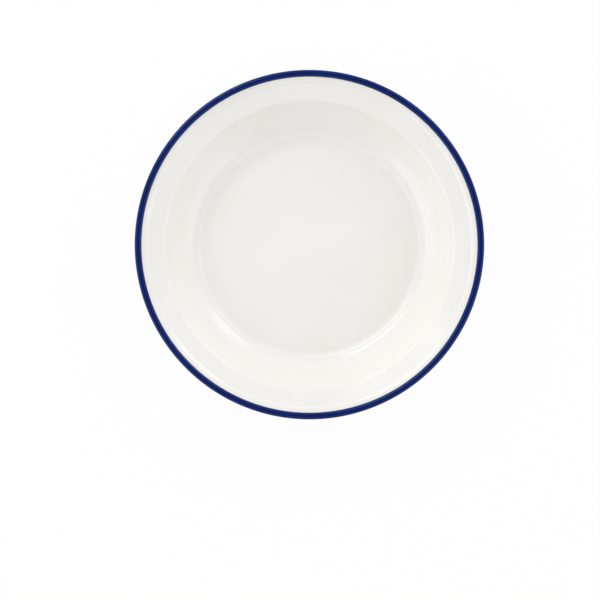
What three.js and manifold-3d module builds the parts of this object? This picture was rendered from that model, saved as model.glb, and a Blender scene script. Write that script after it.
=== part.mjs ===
// A melamine soup plate with the look of enamelled ware: a white moulded body with a deep well,
// a sloping flange and a notched foot ring, and a blue bead moulded round its edge.
// Millimetres and degrees, +Z up. The origin is on the plate's axis, on the plane it stands on.
import * as THREE from "three";
import { mergeVertices } from "three/addons/utils/BufferGeometryUtils.js";
import Module from "manifold-3d";

// Overall size
const PLATE_DIAMETER = 240;
const PLATE_HEIGHT = 39;
const FLOOR_THICKNESS = 4;

// Eating surface, from the bead inwards: widths are measured level, from one bend to the next
const LAND_WIDTH = 2.1;
const LAND_SLOPE = 26;
const ROLL_WIDTH = 1.8;
const RIM_SLOPE = 40;
const COVE_WIDTH = 0.9;
const FLANGE_WIDTH = 9.7;
const FLANGE_SLOPE = 23;
const SHOULDER_RADIUS = 5.5;
const WALL_RUN = 27;
const WALL_BOW_RADIUS = 54.5;
const WELL_CORNER_RADIUS = 13.3;

// Underside, from the bead inwards to the edge of the well
const UNDER_FLANGE_WIDTH = 9.4;
const UNDER_FLANGE_SLOPE = 23.2;
const UNDER_SHOULDER_RADIUS = 11;
const UNDER_BOW_RADIUS = 57.5;
const UNDER_CORNER_RADIUS = 16.3;

// Blue bead round the edge, which stands above the flange
const BEAD_TOP_WIDTH = 4.7;
const BEAD_UNDER_WIDTH = 6.4;
const BEAD_HEIGHT = 5.8;
const BEAD_STEP = 1.7;
const BEAD_TOP_RADIUS = 1.8;
const BEAD_UNDER_RADIUS = 1.6;
const BEAD_INNER_TURN = 75;

// Level tongue on the body's edge that keys the bead, and the gap kept between the two mouldings
const TONGUE_THICKNESS = 1.4;
const TONGUE_LENGTH = 2.2;
const BEAD_CLEARANCE = 0.3;

// Foot ring
const FOOT_HEIGHT = 3;
const FOOT_FACE_WIDTH = 3.6;
const FOOT_DRAFT = 20;
const FOOT_EDGE_RADIUS = 0.9;
const FOOT_FILLET_RADIUS = 0.6;
const FOOT_SETBACK = 0.3;

// Drain notches across the foot ring
const NOTCH_COUNT = 4;
const NOTCH_RADIUS = 4;
const NOTCH_ROOF = 0.3;
const NOTCH_TURN = 48.9;
const NOTCH_OVERRUN = 1.5;

// Fineness of the facets: an arc's facets stray from it by no more than the tolerance
const TURNS = 80;
const ARC_TOLERANCE = 0.05;
const NOTCH_SIDES = 32;

const rad = THREE.MathUtils.degToRad;
const deg = THREE.MathUtils.radToDeg;
const sin = (degrees) => Math.sin(rad(degrees));
const cos = (degrees) => Math.cos(rad(degrees));

// A profile's points have the distance from the axis as x and the height as y
const point = (radius, height) => new THREE.Vector2(radius, height);
const headingFrom = (start, end) => deg(end.clone().sub(start).angle());

/** The point at a given distance from another, on a given heading. */
function along(start, heading, length) {
  return point(start.x + length * cos(heading), start.y + length * sin(heading));
}

/** Draws a profile of straight runs and tangent arcs. A turn to the left is positive. */
class Pen {
  constructor(start, heading) {
    this.points = [start];
    this.heading = heading;
  }

  get tip() {
    return this.points.at(-1);
  }

  line(length) {
    this.points.push(along(this.tip, this.heading, length));
    return this;
  }

  arc(radius, turn) {
    const side = Math.sign(turn) * 90;
    const centre = along(this.tip, this.heading + side, radius);
    const stepTurn = 2 * deg(Math.acos(1 - ARC_TOLERANCE / radius));
    const steps = Math.ceil(Math.abs(turn) / stepTurn);
    for (let i = 1; i <= steps; i++) {
      this.points.push(along(centre, this.heading + (turn * i) / steps - side, radius));
    }
    this.heading += turn;
    return this;
  }
}

/** Where two lines meet, each given by a point and a heading. */
function crossing(a, headingA, b, headingB) {
  const reach = (b.x - a.x) * sin(headingB) - (b.y - a.y) * cos(headingB);
  return along(a, headingA, reach / sin(headingB - headingA));
}

/** The point at given distances from two others, on the left of the way from a to b. */
function apex(a, reachA, b, reachB) {
  const span = a.distanceTo(b);
  const heading = headingFrom(a, b);
  const footLength = (reachA ** 2 - reachB ** 2 + span ** 2) / (2 * span);
  const height = Math.sqrt(reachA ** 2 - footLength ** 2);
  return along(along(a, heading, footLength), heading + 90, height);
}

/** One side of the bowl: a corner, a bowed wall and a shoulder, each tangent to the next. */
class Bowl {
  constructor(floorEdge, cornerRadius, bowRadius, shoulderRadius, flangeStart, flangeSlope) {
    Object.assign(this, { floorEdge, cornerRadius, bowRadius, shoulderRadius, flangeSlope });
    const cornerCentre = along(floorEdge, 90, cornerRadius);
    const shoulderCentre = along(flangeStart, flangeSlope - 90, shoulderRadius);
    const bowCentre = apex(
      cornerCentre,
      bowRadius - cornerRadius,
      shoulderCentre,
      bowRadius + shoulderRadius,
    );
    this.footSlope = headingFrom(bowCentre, cornerCentre) - 270;
    this.topSlope = headingFrom(bowCentre, shoulderCentre) - 270;
  }

  /** Goes on with a profile from the edge of the floor to the flange. */
  draw(pen) {
    return pen
      .arc(this.cornerRadius, this.footSlope)
      .arc(this.bowRadius, this.topSlope - this.footSlope)
      .arc(this.shoulderRadius, this.flangeSlope - this.topSlope);
  }
}

/** Radius and rise of an arc that covers a level width while its slope changes. */
function bend(width, slopeFrom, slopeTo) {
  const radius = width / Math.abs(sin(slopeTo) - sin(slopeFrom));
  return { radius, rise: radius * Math.abs(cos(slopeFrom) - cos(slopeTo)) };
}

// Stations of the eating surface, from the top seam inwards
const edgeRadius = PLATE_DIAMETER / 2;
const topSeam = point(edgeRadius - BEAD_TOP_WIDTH, PLATE_HEIGHT - BEAD_STEP);
const landLength = LAND_WIDTH / cos(LAND_SLOPE);
const landStart = along(topSeam, LAND_SLOPE, -landLength);
const roll = bend(ROLL_WIDTH, RIM_SLOPE, LAND_SLOPE);
const cove = bend(COVE_WIDTH, FLANGE_SLOPE, RIM_SLOPE);
const flangeEnd = point(landStart.x - ROLL_WIDTH - COVE_WIDTH, landStart.y - roll.rise - cove.rise);
const flangeLength = FLANGE_WIDTH / cos(FLANGE_SLOPE);
const flangeStart = along(flangeEnd, FLANGE_SLOPE, -flangeLength);
const wellRadius = flangeStart.x - WALL_RUN;
const innerBowl = new Bowl(
  point(wellRadius, FOOT_HEIGHT + FLOOR_THICKNESS),
  WELL_CORNER_RADIUS,
  WALL_BOW_RADIUS,
  SHOULDER_RADIUS,
  flangeStart,
  FLANGE_SLOPE,
);

// Stations of the underside, from the lower seam inwards
const lowerSeam = point(edgeRadius - BEAD_UNDER_WIDTH, PLATE_HEIGHT - BEAD_HEIGHT);
const underFlangeLength = UNDER_FLANGE_WIDTH / cos(UNDER_FLANGE_SLOPE);
const outerBowl = new Bowl(
  point(wellRadius, FOOT_HEIGHT),
  UNDER_CORNER_RADIUS,
  UNDER_BOW_RADIUS,
  UNDER_SHOULDER_RADIUS,
  along(lowerSeam, UNDER_FLANGE_SLOPE, -underFlangeLength),
  UNDER_FLANGE_SLOPE,
);

// Foot ring: both sides have the same draft, a rounded edge below and a fillet above
const sideTurn = 90 - FOOT_DRAFT;
const footRoundings = FOOT_EDGE_RADIUS + FOOT_FILLET_RADIUS;
const sideLength = (FOOT_HEIGHT - footRoundings * (1 - sin(FOOT_DRAFT))) / cos(FOOT_DRAFT);
const sideRun = footRoundings * cos(FOOT_DRAFT) + sideLength * sin(FOOT_DRAFT);
const footSpread = FOOT_FACE_WIDTH + 2 * sideRun;
const footOuterRadius = wellRadius - FOOT_SETBACK;
const footMiddleRadius = footOuterRadius - footSpread / 2;

/** The eating surface, drawn from the axis to the top seam. */
function eatingSurface() {
  const pen = new Pen(point(0, innerBowl.floorEdge.y), 0).line(wellRadius);
  return innerBowl
    .draw(pen)
    .line(flangeLength)
    .arc(cove.radius, RIM_SLOPE - FLANGE_SLOPE)
    .arc(roll.radius, LAND_SLOPE - RIM_SLOPE)
    .line(landLength).points;
}

/** The underside, drawn from the axis over the foot ring to the lower seam. */
function underside() {
  const pen = new Pen(point(0, FOOT_HEIGHT), 0)
    .line(footOuterRadius - footSpread)
    .arc(FOOT_FILLET_RADIUS, -sideTurn)
    .line(sideLength)
    .arc(FOOT_EDGE_RADIUS, sideTurn)
    .line(FOOT_FACE_WIDTH)
    .arc(FOOT_EDGE_RADIUS, sideTurn)
    .line(sideLength)
    .arc(FOOT_FILLET_RADIUS, -sideTurn)
    .line(FOOT_SETBACK);
  return outerBowl.draw(pen).line(underFlangeLength).points;
}

/** The joint of the two mouldings, from the lower seam round the tongue to the top seam. */
function joint(clearance) {
  const heading = headingFrom(lowerSeam, topSeam);
  const middle = lowerSeam.clone().lerp(topSeam, 0.5);
  const face = along(middle, heading - 90, clearance);
  const end = middle.x + TONGUE_LENGTH + clearance;
  const lower = point(end, middle.y - TONGUE_THICKNESS / 2 - clearance);
  const upper = point(end, middle.y + TONGUE_THICKNESS / 2 + clearance);
  return [
    crossing(face, heading, lowerSeam, 0),
    crossing(face, heading, lower, 0),
    lower,
    upper,
    crossing(face, heading, upper, 0),
    along(topSeam, heading - 90, clearance),
  ];
}

/** Turns a closed profile, drawn anticlockwise, about the plate's axis. */
function turned(profile) {
  return new THREE.LatheGeometry(profile, TURNS).rotateX(Math.PI / 2);
}

const wasm = await Module();
wasm.setup();

/** A closed geometry as a solid that can be cut. */
function solidOf(geometry) {
  const bare = new THREE.BufferGeometry();
  bare.setAttribute("position", geometry.getAttribute("position"));
  bare.setIndex(geometry.getIndex());
  const merged = mergeVertices(bare);
  const corners = merged.getIndex().array;
  const triangles = [];
  for (let i = 0; i < corners.length; i += 3) {
    const [a, b, c] = corners.slice(i, i + 3);
    if (a !== b && b !== c && c !== a) triangles.push(a, b, c);
  }
  return new wasm.Manifold(
    new wasm.Mesh({
      numProp: 3,
      vertProperties: merged.getAttribute("position").array,
      triVerts: new Uint32Array(triangles),
    }),
  );
}

/** A cut solid as a geometry again. */
function geometryOf(solid) {
  const { vertProperties, triVerts } = solid.getMesh();
  const geometry = new THREE.BufferGeometry();
  geometry.setAttribute("position", new THREE.BufferAttribute(vertProperties, 3));
  geometry.setIndex(new THREE.BufferAttribute(triVerts, 1));
  geometry.computeVertexNormals();
  return geometry;
}

/** A round bar that lies radially across the foot ring and cuts one drain notch. */
function notchCutter(turn) {
  const length = footSpread + 2 * NOTCH_OVERRUN;
  const axisHeight = FOOT_HEIGHT - NOTCH_ROOF - NOTCH_RADIUS;
  return new THREE.CylinderGeometry(NOTCH_RADIUS, NOTCH_RADIUS, length, NOTCH_SIDES)
    .rotateZ(Math.PI / 2)
    .translate(footMiddleRadius, 0, axisHeight)
    .rotateZ(rad(turn));
}

/** The white moulding: well, wall, flange and foot ring in one piece, with a tongue round its edge. */
function plateBody() {
  const tongue = joint(0).slice(1, -1);
  let solid = solidOf(turned([...underside(), ...tongue, ...eatingSurface().toReversed()]));
  for (let i = 0; i < NOTCH_COUNT; i++) {
    solid = solid.subtract(solidOf(notchCutter(NOTCH_TURN + (360 * i) / NOTCH_COUNT)));
  }
  return geometryOf(solid);
}

/** The blue moulding: a bead with a groove that takes the body's tongue. */
function rimBead() {
  const groove = joint(BEAD_CLEARANCE);
  const topWidth = BEAD_TOP_WIDTH - BEAD_CLEARANCE;
  const topRadius = Math.min(BEAD_TOP_RADIUS, topWidth / 2);
  const bead = new Pen(point(edgeRadius - BEAD_UNDER_RADIUS, PLATE_HEIGHT - BEAD_HEIGHT), 0)
    .arc(BEAD_UNDER_RADIUS, 90)
    .line(BEAD_HEIGHT - BEAD_UNDER_RADIUS - topRadius)
    .arc(topRadius, 90)
    .line(topWidth - 2 * topRadius)
    .arc(topRadius, BEAD_INNER_TURN).points;
  return turned([...bead, ...groove.toReversed(), bead[0].clone()]);
}

const whiteMelamine = new THREE.MeshStandardMaterial({ color: 0xf0efeb, roughness: 0.12, metalness: 0 });
const blueMelamine = new THREE.MeshStandardMaterial({ color: 0x0a1f5e, roughness: 0.1, metalness: 0 });

const body = new THREE.Mesh(plateBody(), whiteMelamine);
body.name = "plate_body";

const bead = new THREE.Mesh(rimBead(), blueMelamine);
bead.name = "rim_bead";

const soupPlate = new THREE.Group();
soupPlate.name = "soup_plate";
soupPlate.add(body, bead);

export default soupPlate;
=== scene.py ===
"""A melamine soup plate with the look of enamelled ware: a glossy white body with a deep blue bead round
its edge. Both mouldings are turned from profiles of tangent arcs. Metres and degrees, +Z up."""

import math

import bpy
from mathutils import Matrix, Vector


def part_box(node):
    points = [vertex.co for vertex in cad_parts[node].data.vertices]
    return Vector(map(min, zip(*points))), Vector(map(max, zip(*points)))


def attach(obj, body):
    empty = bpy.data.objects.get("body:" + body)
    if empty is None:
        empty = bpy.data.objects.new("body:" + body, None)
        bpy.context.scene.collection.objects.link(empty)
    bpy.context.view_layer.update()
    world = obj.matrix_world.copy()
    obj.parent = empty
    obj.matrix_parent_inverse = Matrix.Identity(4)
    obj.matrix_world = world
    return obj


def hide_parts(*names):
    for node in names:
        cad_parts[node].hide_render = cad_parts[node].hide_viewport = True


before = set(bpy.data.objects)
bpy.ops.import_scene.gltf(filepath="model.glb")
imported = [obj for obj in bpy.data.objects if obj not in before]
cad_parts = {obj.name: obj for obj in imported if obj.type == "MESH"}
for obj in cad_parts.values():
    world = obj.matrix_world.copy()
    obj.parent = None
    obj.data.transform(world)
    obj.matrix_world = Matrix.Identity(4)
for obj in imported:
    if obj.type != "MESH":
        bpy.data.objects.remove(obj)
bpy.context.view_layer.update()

MM = 0.001
BEAD_LOW, BEAD_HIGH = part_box("rim_bead")

# Overall size, from the frame
EDGE_RADIUS = BEAD_HIGH.x
PLATE_HEIGHT = BEAD_HIGH.z
BEAD_HEIGHT = BEAD_HIGH.z - BEAD_LOW.z
FLOOR_THICKNESS = 4.0 * MM

# Eating surface, from the bead inwards: widths are measured level, from one bend to the next
LAND_WIDTH = 2.1 * MM
LAND_SLOPE = 26.0
ROLL_WIDTH = 1.8 * MM
RIM_SLOPE = 40.0
COVE_WIDTH = 0.9 * MM
FLANGE_WIDTH = 9.7 * MM
FLANGE_SLOPE = 23.0
SHOULDER_RADIUS = 5.5 * MM
WALL_RUN = 27.0 * MM
WALL_BOW_RADIUS = 54.5 * MM
WELL_CORNER_RADIUS = 13.3 * MM

# Underside, from the bead inwards to the edge of the well
UNDER_FLANGE_WIDTH = 9.4 * MM
UNDER_FLANGE_SLOPE = 23.2
UNDER_SHOULDER_RADIUS = 11.0 * MM
UNDER_BOW_RADIUS = 57.5 * MM
UNDER_CORNER_RADIUS = 16.3 * MM

# Bead and its joint with the body
BEAD_TOP_WIDTH = 4.7 * MM
BEAD_UNDER_WIDTH = 6.4 * MM
BEAD_STEP = 1.7 * MM
BEAD_TOP_RADIUS = 1.8 * MM
BEAD_UNDER_RADIUS = 1.6 * MM
BEAD_INNER_TURN = 75.0
TONGUE_THICKNESS = 1.4 * MM
TONGUE_LENGTH = 2.2 * MM
SEAM_GAP = 0.03 * MM

# Foot ring and its drain notches
FOOT_HEIGHT = 3.0 * MM
FOOT_FACE_WIDTH = 3.6 * MM
FOOT_DRAFT = 20.0
FOOT_EDGE_RADIUS = 0.9 * MM
FOOT_FILLET_RADIUS = 0.6 * MM
FOOT_SETBACK = 0.3 * MM
NOTCH_COUNT = 4
NOTCH_RADIUS = 4.0 * MM
NOTCH_ROOF = 0.3 * MM
NOTCH_TURN = 48.9
NOTCH_ROUNDING = 0.3 * MM

# Fineness of the surfaces: a run is held flat by points close to its ends
TURNS = 480
NOTCH_CROWDING = 0.8
WIDE_ARC_STEP = 2.2
TIGHT_ARC_STEP = 9.0
TIGHT_RADIUS = 2.0 * MM
RUN_STEP = 9.0 * MM
HOLD = 0.12 * MM
SHORTEST_HELD_RUN = 4 * HOLD
WELD = 0.001 * MM

# The photograph's upper view, in pixels of its 600 by 600 frame
FRAME_PX = 600
PLATE_CENTRE_PX = (309.45, 244.6)
PLATE_RADIUS_PX = 175.0
CAMERA_ABOVE_RIM = 2.5
SENSOR_MM = 36.0

# Light: the tent's bounds are parts of a direction, from 0 at the horizon to 1 overhead or to the front
WHITE = (1.0, 1.0, 1.0, 1.0)
BACKDROP_EDGE = (0.085, 0.095)
TENT_SKIRT = (0.08, 0.12)
TENT_WALL_TOP = (0.5, 0.66)
TENT_CEILING_EDGE = (0.76, 0.84)
TENT_OPENING = (0.972, 0.992)
TENT_FRONT = (0.6, 0.95)
TENT_WALLS = 1.0
TENT_CEILING = 1.0
TENT_GAP = 0.37
OPENING_SHARE = 0.22
FRONT_SHARE = 0.72
SOFTBOX_DISTANCE = 1.4
LAMP_POWER = 4.0
TABLE_SIZE = 12.0
TABLE_COLOUR = (0.93, 0.93, 0.93, 1.0)
TABLE_GLOW = 0.94
TABLE_FILL = 0.42

# Finishes: colours are linear, gloss is the roughness from its best to its dullest
WHITE_CLEAR = (0.911, 0.904, 0.872, 1.0)
WHITE_CLOUDY = (0.899, 0.889, 0.853, 1.0)
WHITE_FILLER = (0.86, 0.845, 0.8, 1.0)
FILLER_SHARE = 0.3
WHITE_GLOSS = (0.125, 0.165)
WHITE_IOR = 1.55
SCUFF_HEIGHT = 0.5 * MM
SCUFF_DULLNESS = 0.3
BLUE_DEEP = (0.0004, 0.0068, 0.1, 1.0)
BLUE_BRIGHT = (0.0006, 0.0086, 0.12, 1.0)
BLUE_REFLECTION = (0.42, 0.64, 1.0, 1.0)
BLUE_GLOSS = (0.07, 0.12)
BLUE_IOR = 1.5
SKIN_WAVE_DEPTH = 0.004 * MM

# Unevenness of the finishes: a noise has a scale to the metre and a detail, and counts between two levels
CLOUD_NOISE = (26.0, 3.0)
FILLER_NOISE = (1400.0, 1.0)
WHITE_POLISH_NOISE = (45.0, 4.0)
BLUE_DEPTH_NOISE = (70.0, 4.0)
BLUE_POLISH_NOISE = (60.0, 4.0)
SKIN_WAVE_NOISE = (240.0, 2.0)
NOISE_ROUGHNESS = 0.55
COLOUR_LEVELS = (0.35, 0.65)
FILLER_LEVELS = (0.6, 0.75)
POLISH_LEVELS = (0.3, 0.7)


def sin(degrees):
    return math.sin(math.radians(degrees))


def cos(degrees):
    return math.cos(math.radians(degrees))


def along(start, heading, length):
    """The point at a distance from another, on a heading. Points are (distance from the axis, height)."""
    return (start[0] + length * cos(heading), start[1] + length * sin(heading))


def heading_from(start, end):
    return math.degrees(math.atan2(end[1] - start[1], end[0] - start[0])) % 360


def crossing(a, heading_a, b, heading_b):
    """Where two lines meet, each given by a point and a heading."""
    reach = (b[0] - a[0]) * sin(heading_b) - (b[1] - a[1]) * cos(heading_b)
    return along(a, heading_a, reach / sin(heading_b - heading_a))


def apex(a, reach_a, b, reach_b):
    """The point at given distances from two others, on the left of the way from a to b."""
    span = math.dist(a, b)
    heading = heading_from(a, b)
    foot_length = (reach_a**2 - reach_b**2 + span**2) / (2 * span)
    height = math.sqrt(reach_a**2 - foot_length**2)
    return along(along(a, heading, foot_length), heading + 90, height)


class Pen:
    """Draws a profile of straight runs and tangent arcs. A turn to the left is positive."""

    def __init__(self, start, heading):
        self.points = [start]
        self.heading = heading

    def run_to(self, end):
        """A straight run to a point. Unless it is short, points close to both ends hold it flat."""
        start = self.points[-1]
        length = math.dist(start, end)
        stations = []
        if length > SHORTEST_HELD_RUN:
            steps = math.ceil(length / RUN_STEP)
            stations = [HOLD, *(length * i / steps for i in range(1, steps)), length - HOLD]
        heading = heading_from(start, end)
        self.points += [along(start, heading, station) for station in stations] + [end]
        return self

    def run(self, length):
        return self.run_to(along(self.points[-1], self.heading, length))

    def arc(self, radius, turn):
        step = WIDE_ARC_STEP if radius > TIGHT_RADIUS else TIGHT_ARC_STEP
        side = math.copysign(90, turn)
        centre = along(self.points[-1], self.heading + side, radius)
        steps = math.ceil(abs(turn) / step)
        for i in range(1, steps + 1):
            self.points.append(along(centre, self.heading + turn * i / steps - side, radius))
        self.heading += turn
        return self


class Bowl:
    """One side of the bowl: a corner, a bowed wall and a shoulder, each tangent to the next."""

    def __init__(self, floor_edge, corner_radius, bow_radius, shoulder_radius, flange_start, flange_slope):
        self.corner_radius = corner_radius
        self.bow_radius = bow_radius
        self.shoulder_radius = shoulder_radius
        self.flange_slope = flange_slope
        corner_centre = along(floor_edge, 90, corner_radius)
        shoulder_centre = along(flange_start, flange_slope - 90, shoulder_radius)
        bow_centre = apex(
            corner_centre,
            bow_radius - corner_radius,
            shoulder_centre,
            bow_radius + shoulder_radius,
        )
        self.foot_slope = heading_from(bow_centre, corner_centre) - 270
        self.top_slope = heading_from(bow_centre, shoulder_centre) - 270

    def draw(self, pen):
        """Goes on with a profile from the edge of the floor to the flange."""
        pen.arc(self.corner_radius, self.foot_slope)
        pen.arc(self.bow_radius, self.top_slope - self.foot_slope)
        pen.arc(self.shoulder_radius, self.flange_slope - self.top_slope)


def bend(width, slope_from, slope_to):
    """Radius and rise of an arc that covers a level width while its slope changes."""
    radius = width / abs(sin(slope_to) - sin(slope_from))
    return radius, radius * abs(cos(slope_from) - cos(slope_to))


# Stations of the eating surface, from the top seam inwards
TOP_SEAM = (EDGE_RADIUS - BEAD_TOP_WIDTH, PLATE_HEIGHT - BEAD_STEP)
LAND_LENGTH = LAND_WIDTH / cos(LAND_SLOPE)
LAND_START = along(TOP_SEAM, LAND_SLOPE, -LAND_LENGTH)
ROLL_RADIUS, ROLL_RISE = bend(ROLL_WIDTH, RIM_SLOPE, LAND_SLOPE)
COVE_RADIUS, COVE_RISE = bend(COVE_WIDTH, FLANGE_SLOPE, RIM_SLOPE)
FLANGE_END = (LAND_START[0] - ROLL_WIDTH - COVE_WIDTH, LAND_START[1] - ROLL_RISE - COVE_RISE)
FLANGE_LENGTH = FLANGE_WIDTH / cos(FLANGE_SLOPE)
FLANGE_START = along(FLANGE_END, FLANGE_SLOPE, -FLANGE_LENGTH)
WELL_RADIUS = FLANGE_START[0] - WALL_RUN
INNER_BOWL = Bowl(
    (WELL_RADIUS, FOOT_HEIGHT + FLOOR_THICKNESS),
    WELL_CORNER_RADIUS,
    WALL_BOW_RADIUS,
    SHOULDER_RADIUS,
    FLANGE_START,
    FLANGE_SLOPE,
)

# Stations of the underside, from the lower seam inwards
LOWER_SEAM = (EDGE_RADIUS - BEAD_UNDER_WIDTH, PLATE_HEIGHT - BEAD_HEIGHT)
UNDER_FLANGE_LENGTH = UNDER_FLANGE_WIDTH / cos(UNDER_FLANGE_SLOPE)
OUTER_BOWL = Bowl(
    (WELL_RADIUS, FOOT_HEIGHT),
    UNDER_CORNER_RADIUS,
    UNDER_BOW_RADIUS,
    UNDER_SHOULDER_RADIUS,
    along(LOWER_SEAM, UNDER_FLANGE_SLOPE, -UNDER_FLANGE_LENGTH),
    UNDER_FLANGE_SLOPE,
)

# Foot ring: both sides have the same draft, a rounded edge below and a fillet above
SIDE_TURN = 90 - FOOT_DRAFT
FOOT_ROUNDINGS = FOOT_EDGE_RADIUS + FOOT_FILLET_RADIUS
SIDE_LENGTH = (FOOT_HEIGHT - FOOT_ROUNDINGS * (1 - sin(FOOT_DRAFT))) / cos(FOOT_DRAFT)
SIDE_RUN = FOOT_ROUNDINGS * cos(FOOT_DRAFT) + SIDE_LENGTH * sin(FOOT_DRAFT)
FOOT_SPREAD = FOOT_FACE_WIDTH + 2 * SIDE_RUN
FOOT_OUTER_RADIUS = WELL_RADIUS - FOOT_SETBACK


def eating_surface():
    """From the axis to the top seam."""
    pen = Pen((0.0, FOOT_HEIGHT + FLOOR_THICKNESS), 0)
    pen.run(WELL_RADIUS)
    INNER_BOWL.draw(pen)
    pen.run(FLANGE_LENGTH)
    pen.arc(COVE_RADIUS, RIM_SLOPE - FLANGE_SLOPE)
    pen.arc(ROLL_RADIUS, LAND_SLOPE - RIM_SLOPE)
    pen.run(LAND_LENGTH)
    return pen.points


def underside():
    """From the axis over the foot ring to the lower seam."""
    pen = Pen((0.0, FOOT_HEIGHT), 0)
    pen.run(FOOT_OUTER_RADIUS - FOOT_SPREAD)
    pen.arc(FOOT_FILLET_RADIUS, -SIDE_TURN).run(SIDE_LENGTH).arc(FOOT_EDGE_RADIUS, SIDE_TURN)
    pen.run(FOOT_FACE_WIDTH)
    pen.arc(FOOT_EDGE_RADIUS, SIDE_TURN).run(SIDE_LENGTH).arc(FOOT_FILLET_RADIUS, -SIDE_TURN)
    pen.run(FOOT_SETBACK)
    OUTER_BOWL.draw(pen)
    pen.run(UNDER_FLANGE_LENGTH)
    return pen.points


def joint(gap):
    """The faces that body and bead share, from the lower seam round the tongue to the top seam."""
    heading = heading_from(LOWER_SEAM, TOP_SEAM)
    middle = [(low + high) / 2 for low, high in zip(LOWER_SEAM, TOP_SEAM)]
    face = along(middle, heading - 90, gap)
    end = middle[0] + TONGUE_LENGTH + gap
    lower = (end, middle[1] - TONGUE_THICKNESS / 2 - gap)
    upper = (end, middle[1] + TONGUE_THICKNESS / 2 + gap)
    return [
        crossing(face, heading, LOWER_SEAM, 0),
        crossing(face, heading, lower, 0),
        lower,
        upper,
        crossing(face, heading, upper, 0),
        along(TOP_SEAM, heading - 90, gap),
    ]


def body_profile():
    """The white moulding's outline, from the axis below to the axis above."""
    return underside() + joint(0)[1:-1] + eating_surface()[::-1]


def bead_profile():
    """The blue moulding's closed outline."""
    groove = joint(SEAM_GAP)
    top_width = BEAD_TOP_WIDTH - SEAM_GAP
    pen = Pen(groove[0], 0)
    pen.run_to((EDGE_RADIUS - BEAD_UNDER_RADIUS, PLATE_HEIGHT - BEAD_HEIGHT))
    pen.arc(BEAD_UNDER_RADIUS, 90).run(BEAD_HEIGHT - BEAD_UNDER_RADIUS - BEAD_TOP_RADIUS)
    pen.arc(BEAD_TOP_RADIUS, 90).run(top_width - 2 * BEAD_TOP_RADIUS)
    pen.arc(BEAD_TOP_RADIUS, BEAD_INNER_TURN)
    for corner in reversed(groove):
        pen.run_to(corner)
    return pen.points


class Nodes:
    """Adds nodes to a tree, with each input given as a value or as the socket that feeds it."""

    def __init__(self, tree):
        self.tree = tree

    def add(self, kind, inputs=None, **settings):
        node = self.tree.nodes.new(kind)
        for name, value in settings.items():
            setattr(node, name, value)
        for key, value in (inputs or {}).items():
            if isinstance(value, bpy.types.NodeSocket):
                self.tree.links.new(value, node.inputs[key])
            else:
                node.inputs[key].default_value = value
        return node

    def math(self, operation, *values):
        return self.add("ShaderNodeMath", dict(enumerate(values)), operation=operation).outputs[0]

    def noise(self, place, scale, detail):
        inputs = {"Vector": place, "Scale": scale, "Detail": detail, "Roughness": NOISE_ROUGHNESS}
        return self.add("ShaderNodeTexNoise", inputs).outputs["Fac"]

    def blend(self, share, colour, other):
        """A colour that goes to another as the share goes from 0 to 1."""
        inputs = {"Factor": share, "A": colour, "B": other}
        return self.add("ShaderNodeMix", inputs, data_type="RGBA").outputs["Result"]

    def ramp(self, value, bounds, low, high):
        """A smooth change from one level to another while a value goes between two bounds."""
        inputs = {"Value": value, "From Min": bounds[0], "From Max": bounds[1], "To Min": low, "To Max": high}
        return self.add("ShaderNodeMapRange", inputs, interpolation_type="SMOOTHSTEP").outputs["Result"]


class ShapeTree(Nodes):
    """A Geometry Nodes tree with named inputs, which ends in realised geometry with a material."""

    def __init__(self, name, **sockets):
        super().__init__(bpy.data.node_groups.new(name, "GeometryNodeTree"))
        interface = self.tree.interface
        interface.new_socket("Geometry", in_out="INPUT", socket_type="NodeSocketGeometry")
        self.identifiers = {
            label: interface.new_socket(label, in_out="INPUT", socket_type=kind).identifier
            for label, kind in {**sockets, "Finish": "NodeSocketMaterial"}.items()
        }
        interface.new_socket("Geometry", in_out="OUTPUT", socket_type="NodeSocketGeometry")
        self.given = self.add("NodeGroupInput").outputs

    def end(self, geometry):
        realised = self.add("GeometryNodeRealizeInstances", {"Geometry": geometry})
        finished = self.add(
            "GeometryNodeSetMaterial",
            {"Geometry": realised.outputs[0], "Material": self.given["Finish"]},
        )
        self.add("NodeGroupOutput", {"Geometry": finished.outputs[0]})
        return self

    def put_on(self, obj, **values):
        """Adds the tree to an object as a modifier, with its inputs set by their identifiers."""
        modifier = obj.modifiers.new(self.tree.name, "NODES")
        modifier.node_group = self.tree
        for label, value in values.items():
            modifier[self.identifiers[label]] = value


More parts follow.
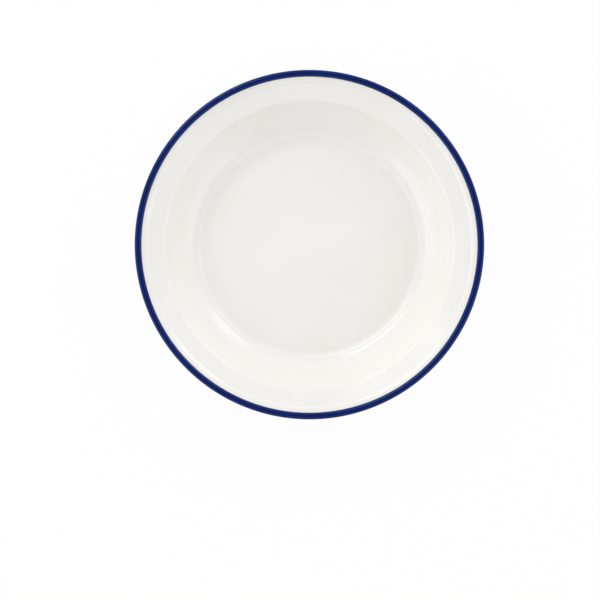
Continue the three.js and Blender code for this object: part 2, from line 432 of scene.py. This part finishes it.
def turning_tree():
    """Turns a profile about the axis. Its columns may crowd round evenly spaced places, for detail there."""
    tree = ShapeTree(
        "turned_moulding",
        Turns="NodeSocketInt",
        Crowding="NodeSocketFloat",
        Places="NodeSocketInt",
        Turn="NodeSocketFloat",
        Weld="NodeSocketFloat",
    )
    given, math_node = tree.given, tree.math
    size = tree.add("GeometryNodeAttributeDomainSize", {"Geometry": given["Geometry"]}, component="MESH")
    points = size.outputs["Point Count"]
    columns = math_node("ADD", given["Turns"], 1.0)
    grid = tree.add(
        "GeometryNodeMeshGrid",
        {"Size X": 1.0, "Size Y": 1.0, "Vertices X": points, "Vertices Y": columns},
    )
    place = tree.add("GeometryNodeInputPosition").outputs[0]
    # The grid is 1 by 1 about its middle, so half is added for shares from 0 to 1
    share = tree.add("ShaderNodeSeparateXYZ", {0: place}).outputs
    row = math_node("MULTIPLY", math_node("ADD", share["X"], 0.5), math_node("SUBTRACT", points, 1.0))
    profile = tree.add(
        "GeometryNodeSampleIndex",
        {"Geometry": given["Geometry"], "Value": place, "Index": math_node("ROUND", row)},
        data_type="FLOAT_VECTOR",
    )
    station = tree.add("ShaderNodeSeparateXYZ", {0: profile.outputs["Value"]}).outputs

    even = math_node("MULTIPLY", math_node("ADD", share["Y"], 0.5), math.tau)
    phase = math_node("MULTIPLY", math_node("SUBTRACT", even, given["Turn"]), given["Places"])
    pull = math_node("MULTIPLY", given["Crowding"], math_node("SINE", phase))
    angle = math_node("SUBTRACT", even, math_node("DIVIDE", pull, given["Places"]))
    turned = tree.add(
        "ShaderNodeCombineXYZ",
        {
            "X": math_node("MULTIPLY", station["X"], math_node("COSINE", angle)),
            "Y": math_node("MULTIPLY", station["X"], math_node("SINE", angle)),
            "Z": station["Z"],
        },
    )
    placed = tree.add(
        "GeometryNodeSetPosition",
        {"Geometry": grid.outputs["Mesh"], "Position": turned.outputs[0]},
    )
    welded = tree.add(
        "GeometryNodeMergeByDistance",
        {"Geometry": placed.outputs[0], "Distance": given["Weld"]},
    )
    outward = tree.add("GeometryNodeFlipFaces", {"Mesh": welded.outputs[0]})
    smooth = tree.add("GeometryNodeSetShadeSmooth", {"Geometry": outward.outputs[0]})
    return tree.end(smooth.outputs[0])


def notch_tree():
    """Lifts the foot ring to a round arch at evenly spaced places, each across the ring and level."""
    tree = ShapeTree(
        "drain_notches",
        Count="NodeSocketInt",
        Turn="NodeSocketFloat",
        Radius="NodeSocketFloat",
        Roof="NodeSocketFloat",
        Rounding="NodeSocketFloat",
    )
    given, math_node = tree.given, tree.math
    place = tree.add("GeometryNodeInputPosition").outputs[0]
    at = tree.add("ShaderNodeSeparateXYZ", {0: place}).outputs
    level = tree.add("ShaderNodeCombineXYZ", {"X": at["X"], "Y": at["Y"]}).outputs[0]
    distance = tree.add("ShaderNodeVectorMath", {0: level}, operation="LENGTH").outputs["Value"]
    half_pitch = math_node("DIVIDE", math.pi, given["Count"])
    turn = math_node("SUBTRACT", math_node("ARCTAN2", at["Y"], at["X"]), given["Turn"])
    nearest = math_node("WRAP", turn, half_pitch, math_node("MULTIPLY", half_pitch, -1.0))
    aside = math_node("MULTIPLY", distance, math_node("SINE", nearest))
    rise = math_node("SUBTRACT", math_node("POWER", given["Radius"], 2.0), math_node("POWER", aside, 2.0))
    arch = math_node("SQRT", math_node("MAXIMUM", rise, 0.0))
    axis = math_node("SUBTRACT", given["Roof"], given["Radius"])
    lifted = math_node("SMOOTH_MAX", at["Z"], math_node("ADD", axis, arch), given["Rounding"])
    raised = tree.add("ShaderNodeCombineXYZ", {"X": at["X"], "Y": at["Y"], "Z": lifted})
    notched = tree.add(
        "GeometryNodeSetPosition",
        {"Geometry": given["Geometry"], "Position": raised.outputs[0]},
    )
    return tree.end(notched.outputs[0])


def profile_object(name, points):
    """A profile as a chain of edges in the plane of X and Z."""
    mesh = bpy.data.meshes.new(name)
    chain = [(i, i + 1) for i in range(len(points) - 1)]
    mesh.from_pydata([(radius, 0.0, height) for radius, height in points], chain, [])
    obj = bpy.data.objects.new(name, mesh)
    bpy.context.collection.objects.link(obj)
    return obj


def finished_piece(name, drawn):
    """The result of an object's trees as a plain mesh piece, in place of the drawn profile."""
    seen = drawn.evaluated_get(bpy.context.evaluated_depsgraph_get())
    mesh = bpy.data.meshes.new_from_object(seen)
    mesh.name = name
    bpy.data.objects.remove(drawn)
    piece = bpy.data.objects.new(name, mesh)
    bpy.context.collection.objects.link(piece)
    return piece


def shader_nodes(owner):
    """An empty shader tree on a new material or world."""
    owner.use_nodes = True
    owner.node_tree.nodes.clear()
    return Nodes(owner.node_tree)


def moulded_skin(nodes, place):
    """Slight waves that a polished mould leaves in a glossy skin, as a normal."""
    waves = nodes.noise(place, *SKIN_WAVE_NOISE)
    return nodes.add("ShaderNodeBump", {"Height": waves, "Distance": SKIN_WAVE_DEPTH}).outputs["Normal"]


def white_melamine():
    """Warm white compound with faint clouds and a fine speckle of filler. The skin is polished a little
    unevenly, and scuffed where the foot ring stands."""
    material = bpy.data.materials.new("white_melamine")
    nodes = shader_nodes(material)
    place = nodes.add("ShaderNodeTexCoord").outputs["Object"]
    clouds = nodes.ramp(nodes.noise(place, *CLOUD_NOISE), COLOUR_LEVELS, 0.0, 1.0)
    filler = nodes.ramp(nodes.noise(place, *FILLER_NOISE), FILLER_LEVELS, 0.0, FILLER_SHARE)
    colour = nodes.blend(filler, nodes.blend(clouds, WHITE_CLEAR, WHITE_CLOUDY), WHITE_FILLER)
    polish = nodes.ramp(nodes.noise(place, *WHITE_POLISH_NOISE), POLISH_LEVELS, *WHITE_GLOSS)
    standing = nodes.add("ShaderNodeSeparateXYZ", {0: place}).outputs["Z"]
    scuffs = nodes.ramp(standing, (0.0, SCUFF_HEIGHT), SCUFF_DULLNESS, 0.0)
    shell = nodes.add(
        "ShaderNodeBsdfPrincipled",
        {
            "Base Color": colour,
            "Roughness": nodes.math("ADD", polish, scuffs),
            "IOR": WHITE_IOR,
            "Normal": moulded_skin(nodes, place),
        },
    )
    nodes.add("ShaderNodeOutputMaterial", {"Surface": shell.outputs[0]})
    return material


def blue_melamine():
    """Deep blue compound, a little uneven in its depth of colour, with a glossy skin."""
    material = bpy.data.materials.new("blue_melamine")
    nodes = shader_nodes(material)
    place = nodes.add("ShaderNodeTexCoord").outputs["Object"]
    depth = nodes.ramp(nodes.noise(place, *BLUE_DEPTH_NOISE), COLOUR_LEVELS, 0.0, 1.0)
    polish = nodes.ramp(nodes.noise(place, *BLUE_POLISH_NOISE), POLISH_LEVELS, *BLUE_GLOSS)
    shell = nodes.add(
        "ShaderNodeBsdfPrincipled",
        {
            "Base Color": nodes.blend(depth, BLUE_DEEP, BLUE_BRIGHT),
            "Roughness": polish,
            "IOR": BLUE_IOR,
            "Specular Tint": BLUE_REFLECTION,
            "Normal": moulded_skin(nodes, place),
        },
    )
    nodes.add("ShaderNodeOutputMaterial", {"Surface": shell.outputs[0]})
    return material


def make_body(turning, notches):
    finish = white_melamine()
    drawn = profile_object("body_profile", body_profile())
    turning.put_on(
        drawn,
        Turns=TURNS,
        Crowding=NOTCH_CROWDING,
        Places=NOTCH_COUNT,
        Turn=math.radians(NOTCH_TURN),
        Weld=WELD,
        Finish=finish,
    )
    notches.put_on(
        drawn,
        Count=NOTCH_COUNT,
        Turn=math.radians(NOTCH_TURN),
        Radius=NOTCH_RADIUS,
        Roof=FOOT_HEIGHT - NOTCH_ROOF,
        Rounding=NOTCH_ROUNDING,
        Finish=finish,
    )
    body = finished_piece("plate_body_shell", drawn)
    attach(body, "root")
    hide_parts("plate_body")


def make_bead(turning):
    drawn = profile_object("bead_profile", bead_profile())
    turning.put_on(drawn, Turns=TURNS, Crowding=0.0, Places=1, Turn=0.0, Weld=WELD, Finish=blue_melamine())
    bead = finished_piece("rim_bead_ring", drawn)
    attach(bead, "root")
    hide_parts("rim_bead")


def seen_directly(nodes):
    """One for what the camera, reflections and clear materials see, and none for the light on the plate."""
    path = nodes.add("ShaderNodeLightPath").outputs
    seen = nodes.math("MAXIMUM", path["Is Camera Ray"], path["Is Glossy Ray"])
    return nodes.math("MAXIMUM", seen, path["Is Transmission Ray"])


def make_table():
    """A white table top that gives off a little light. What is seen of it is mostly plain white, with the
    plate's shadow kept."""
    material = bpy.data.materials.new("table_white")
    nodes = shader_nodes(material)
    lit = nodes.add("ShaderNodeBsdfDiffuse", {"Color": TABLE_COLOUR})
    plain = nodes.add("ShaderNodeEmission", {"Color": WHITE, "Strength": 1.0})
    glow = nodes.ramp(seen_directly(nodes), (0.0, 1.0), TABLE_FILL, TABLE_GLOW)
    mixed = nodes.add("ShaderNodeMixShader", {0: glow, 1: lit.outputs[0], 2: plain.outputs[0]})
    nodes.add("ShaderNodeOutputMaterial", {"Surface": mixed.outputs[0]})
    bpy.ops.mesh.primitive_plane_add(size=TABLE_SIZE)
    floor = bpy.context.object
    floor.name = "table_top"
    floor.data.materials.append(material)


def make_tent():
    """Light from a tent of walls and a ceiling with a dimmer gap between them. It is dimmer to the front, and
    dark overhead where the camera looks in. Below its edge, the camera and reflections see the plain white of
    the backdrop."""
    world = bpy.data.worlds.new("light_tent")
    bpy.context.scene.world = world
    nodes = shader_nodes(world)
    direction = nodes.add("ShaderNodeTexCoord").outputs["Generated"]
    towards = nodes.add("ShaderNodeSeparateXYZ", {0: direction}).outputs
    height = towards["Z"]
    forwards = nodes.math("MULTIPLY", towards["Y"], -1.0)
    walls = nodes.ramp(height, TENT_WALL_TOP, TENT_WALLS, TENT_GAP)
    ceiling = nodes.ramp(height, TENT_CEILING_EDGE, TENT_GAP, TENT_CEILING)
    skirt = nodes.ramp(height, TENT_SKIRT, 0.0, 1.0)
    opening = nodes.ramp(height, TENT_OPENING, 1.0, OPENING_SHARE)
    front = nodes.ramp(forwards, TENT_FRONT, 1.0, FRONT_SHARE)
    tent = nodes.math("MAXIMUM", walls, ceiling)
    for share in (skirt, opening, front):
        tent = nodes.math("MULTIPLY", tent, share)
    backdrop = nodes.math("MULTIPLY", seen_directly(nodes), nodes.ramp(height, BACKDROP_EDGE, 1.0, 0.0))
    strength = nodes.math("MAXIMUM", tent, backdrop)
    sky = nodes.add("ShaderNodeBackground", {"Color": WHITE, "Strength": strength})
    nodes.add("ShaderNodeOutputWorld", {"Surface": sky.outputs[0]})


def make_softbox(name, azimuth, elevation, width, height, radiance):
    """A softbox turned to the plate's centre. Radiance 1 takes LAMP_POWER watts to the square metre."""
    lamp = bpy.data.lights.new(name, "AREA")
    lamp.shape = "RECTANGLE"
    lamp.size = width
    lamp.size_y = height
    lamp.energy = LAMP_POWER * radiance * width * height
    obj = bpy.data.objects.new(name, lamp)
    towards = Vector((cos(elevation) * cos(azimuth), cos(elevation) * sin(azimuth), sin(elevation)))
    obj.location = towards * SOFTBOX_DISTANCE
    obj.rotation_euler = towards.to_track_quat("Z", "Y").to_euler()
    obj.visible_camera = False
    bpy.context.collection.objects.link(obj)


def make_camera():
    """Straight above, placed so that the plate lies where the photograph's upper view has it."""
    metres_per_px = EDGE_RADIUS / PLATE_RADIUS_PX
    camera = bpy.data.cameras.new("camera")
    camera.sensor_width = SENSOR_MM
    camera.lens = SENSOR_MM * CAMERA_ABOVE_RIM / (FRAME_PX * metres_per_px)
    obj = bpy.data.objects.new("camera", camera)
    obj.location = (
        (FRAME_PX / 2 - PLATE_CENTRE_PX[0]) * metres_per_px,
        (PLATE_CENTRE_PX[1] - FRAME_PX / 2) * metres_per_px,
        PLATE_HEIGHT + CAMERA_ABOVE_RIM,
    )
    bpy.context.collection.objects.link(obj)
    bpy.context.scene.camera = obj


turning = turning_tree()
make_body(turning, notch_tree())
make_bead(turning)
make_table()
make_tent()
make_softbox("key_softbox", azimuth=126, elevation=34, width=0.75, height=0.16, radiance=4.9)
make_softbox("upper_softbox", azimuth=126, elevation=58, width=0.7, height=0.36, radiance=1.7)
make_softbox("right_softbox", azimuth=46, elevation=28.5, width=0.5, height=0.6, radiance=1.3)
make_softbox("left_panel", azimuth=199, elevation=25, width=1.4, height=0.9, radiance=0.52)
make_softbox("front_panel", azimuth=335, elevation=22, width=1.3, height=0.8, radiance=0.5)
make_camera()
bpy.context.scene.view_settings.view_transform = "Standard"
